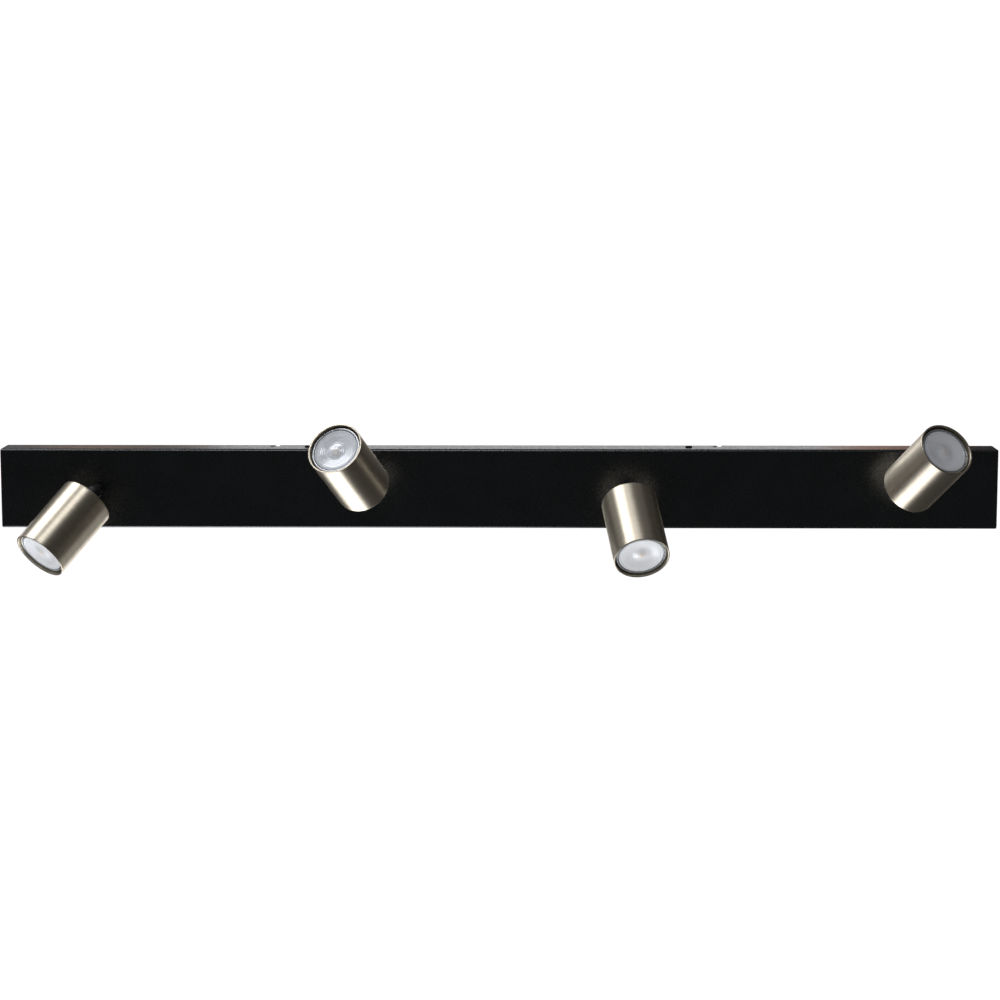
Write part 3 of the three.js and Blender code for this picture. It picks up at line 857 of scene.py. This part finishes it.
def build_spot(number, finishes):
    """One stem with its washer and nut on the swivel's frame, and all of its head on the head's frame."""
    swivel, head = spot_places(number)
    washer_start = SHEET + GAP
    nut_start = washer_start + 1 + GAP
    knuckle_nut_end = HEAD_REAR - WALL - GAP - 1 - GAP
    on_swivel = [
        ("stem", stem(), "black_hardware", "black_hardware", 0.12),
        ("stem_washer", washer(washer_start, washer_start + 1), "zinc", "plated_steel", 0),
        ("stem_nut", nut(nut_start, nut_start + NUT_HEIGHT), "zinc", "plated_steel", 0.1),
    ]
    on_head = [
        ("clevis", clevis(), "black_hardware", "black_hardware", 0.15),
        ("hinge_pin", hinge_pin(), "zinc", "plated_steel", 0),
        ("housing", housing(), "nickel", "brushed_nickel", 0),
        ("holder_strap", holder_strap(), "zinc", "plated_steel", 0),
        ("knuckle_nut", nut(knuckle_nut_end - NUT_HEIGHT, knuckle_nut_end), "zinc", "plated_steel", 0.1),
        ("lamp_holder", lamp_holder(), "ceramic", "ceramic", 0.15),
        ("lamp_body", lamp_body(), "lamp", "lamp_shell", 0),
        ("lamp_reflector", lamp_reflector(), "reflector", "lamp_shell", 0),
        ("lamp_chip", lamp_chip(), "chip", "lamp_shell", 0),
        ("lamp_lens", lamp_lens(), "lens", "lamp_lens", 0),
    ]
    for body, place, parts in (("swivel", swivel, on_swivel), ("head", head, on_head)):
        for name, mesh, finish, slot, edge in parts:
            node = f"{name}_{number}"
            stands_for = [node] if node in frame["nodes"] else []
            on = f"{body}_{number}"
            piece(f"{node}_finished", mesh, finishes[finish], on, stands_for, place, edge)


# ---------------------------------------------------------------- the studio

FLOOR = -1.2
BACKDROP_PLACE = 4.5
BACKDROP_TOP = 1.35
WHITE = 1.05
ROOM = 0.05
# name, left, right, strength, colour
BACKDROP = [
    ("backdrop_far_left", -2.2, -1.3, 0.3, (1, 1, 1)),
    ("backdrop_left_edge", -1.3, -1.1, 0.6, (1, 0.70, 0.58)),
    ("backdrop_left", -1.1, -0.85, 0.35, (1, 0.85, 0.75)),
    ("backdrop_middle", -0.85, 0.85, 1.15, (1, 1, 1.02)),
    ("backdrop_right_edge", 0.85, 1.08, 0.8, (1, 0.60, 0.46)),
]
# name, left, right, near, far, strength
FLOOR_PANELS = [
    ("sweep", -0.85, 0.7, 1.1, 4.5, 0.9),
    ("floor_right", 2.0, 7.0, 0.8, 4.0, 0.7),
]
# name, place, aim, width, height, radiance
SOFTBOXES = [
    ("softbox_left", (-1.85, 0.45, 2.8), (-0.1, 0, 0), 1.6, 1.7, 7.5),
    ("softbox_front", (-0.3, -1.35, 2.8), (-0.2, 0, 0), 1.1, 1.0, 6.6),
    ("floor_panel", (-0.37, 0.22, FLOOR + 0.02), (-0.37, 0.22, 0), 0.84, 1.36, 4.6),
    ("window_left", (-2.75, 4.4, 0.6), (-2.0, 0, 0.3), 1.1, 1.5, 3.2),
    ("wall_left", (-3.6, 0.4, 0.3), (0, 0, 0.3), 3.6, 3.0, 0.42),
    ("ceiling_right", (1.1, 1.2, 2.8), (1.1, 1.2, 0), 1.6, 1.6, 0.22),
]
COOL = (0.955, 0.985, 1.05)


def glow(name, strength, colour=(1, 1, 1)):
    """An even glow that needs no light."""
    material = bpy.data.materials.new(name)
    material.use_nodes = True
    nodes = material.node_tree.nodes
    nodes.remove(nodes["Principled BSDF"])
    emission = nodes.new("ShaderNodeEmission")
    emission.inputs["Color"].default_value = (*colour, 1)
    emission.inputs["Strength"].default_value = strength
    material.node_tree.links.new(emission.outputs["Emission"], nodes["Material Output"].inputs["Surface"])
    return material


def sheet_of(name, corners, material):
    mesh = bpy.data.meshes.new(name)
    mesh.from_pydata(corners, [], [(0, 1, 2, 3)])
    made = bpy.data.objects.new(name, mesh)
    scene.collection.objects.link(made)
    mesh.materials.append(material)
    return made


def softbox(name, place, aim, width, height, radiance):
    """A soft rectangular light. Its power follows from how bright its face looks."""
    light = bpy.data.lights.new(name, "AREA")
    light.shape = "RECTANGLE"
    light.size, light.size_y = width, height
    light.energy = radiance * math.pi * width * height
    light.color = COOL
    made = bpy.data.objects.new(name, light)
    scene.collection.objects.link(made)
    made.location = place
    made.rotation_euler = (Vector(aim) - Vector(place)).to_track_quat("-Z", "Y").to_euler()
    made.visible_camera = False


def build_studio():
    """A white studio. The camera sees even white behind the bar, while the bar's own reflections show the
    backdrop, the floor panels, the softboxes and the dim room round them."""
    square = ((-9, -9), (9, -9), (9, 9), (-9, 9))
    floor = sheet_of("floor", [(x, y, FLOOR) for x, y in square], glow("studio_white", WHITE))
    for name, left, right, strength, colour in BACKDROP:
        outline = ((left, FLOOR), (right, FLOOR), (right, BACKDROP_TOP), (left, BACKDROP_TOP))
        corners = [(x, BACKDROP_PLACE, z) for x, z in outline]
        panel = sheet_of(name, corners, glow(name, strength, colour))
        panel.visible_camera = False
    for name, left, right, near, far, strength in FLOOR_PANELS:
        outline = ((left, near), (right, near), (right, far), (left, far))
        corners = [(x, y, FLOOR + 0.01) for x, y in outline]
        panel = sheet_of(name, corners, glow(name, strength))
        panel.visible_camera = False
    bpy.ops.mesh.primitive_uv_sphere_add(segments=24, ring_count=12, radius=12)
    room = bpy.context.object
    room.name = "room"
    room.data.materials.append(glow("dim_room", ROOM))
    floor.visible_glossy = False
    floor.visible_transmission = False
    room.visible_camera = False
    room.visible_diffuse = False
    room.visible_shadow = False
    world = bpy.data.worlds.new("studio")
    world.use_nodes = True
    background = world.node_tree.nodes["Background"]
    background.inputs["Color"].default_value = (1, 1, 1, 1)
    background.inputs["Strength"].default_value = WHITE
    scene.world = world
    world.cycles_visibility.glossy = False
    world.cycles_visibility.diffuse = False
    world.cycles_visibility.transmission = False
    for name, place, aim, width, height, radiance in SOFTBOXES:
        softbox(name, place, aim, width, height, radiance)


def build_camera():
    """A long lens a little above the bar, turned slightly to the left."""
    pitch, yaw, roll = math.radians(7.918), math.radians(0.9), math.radians(-0.044)
    camera = bpy.data.objects.new("camera", bpy.data.cameras.new("camera"))
    scene.collection.objects.link(camera)
    aim = Matrix.Rotation(yaw, 4, "Z") @ Matrix.Rotation(math.pi / 2 - pitch, 4, "X")
    place = Matrix.Translation((0.0434, -2.6644, 0.3546))
    camera.matrix_world = place @ aim @ Matrix.Rotation(roll, 4, "Z")
    camera.data.lens = 95.24
    scene.camera = camera


finishes = {
    "black": powder_coat("black_powder_coat", (0.0032, 0.0038, 0.0042), 0.28, 0.62),
    "black_hardware": powder_coat("black_hardware", (0.003, 0.003, 0.003), 0.6, 0.25),
    "nickel": brushed_nickel(),
    "zinc": zinc_plate(),
    "ceramic": plain("ceramic", (0.78, 0.76, 0.70), 0.6),
    "lamp": plain("lamp_shell", (0.60, 0.61, 0.61), 0.3, mottle=0.02, grain=2000, depth=0.004, metallic=0.8),
    "lens": moulded_lens(),
    "reflector": silvered(),
    "chip": plain("lamp_chip", (0.72, 0.50, 0.34), 0.35, mottle=0.15, grain=3000),
    "rubber": plain("rubber", (0.02, 0.02, 0.021), 0.75, mottle=0.2, grain=1500),
    "nylon": plain("nylon", (0.80, 0.79, 0.74), 0.45, mottle=0.03, grain=1200),
    "brass": plain("brass", (0.62, 0.42, 0.16), 0.32, mottle=0.12, grain=1500, metallic=1.0),
    "lead": plain("lead_sheath", (0.60, 0.60, 0.59), 0.5, mottle=0.03, grain=700, depth=0.02),
}
scene.view_settings.view_transform = "Standard"
build_camera()
build_studio()
build_canopy(finishes["black"])
build_behind(finishes)
for number in SPOTS:
    build_spot(number, finishes)
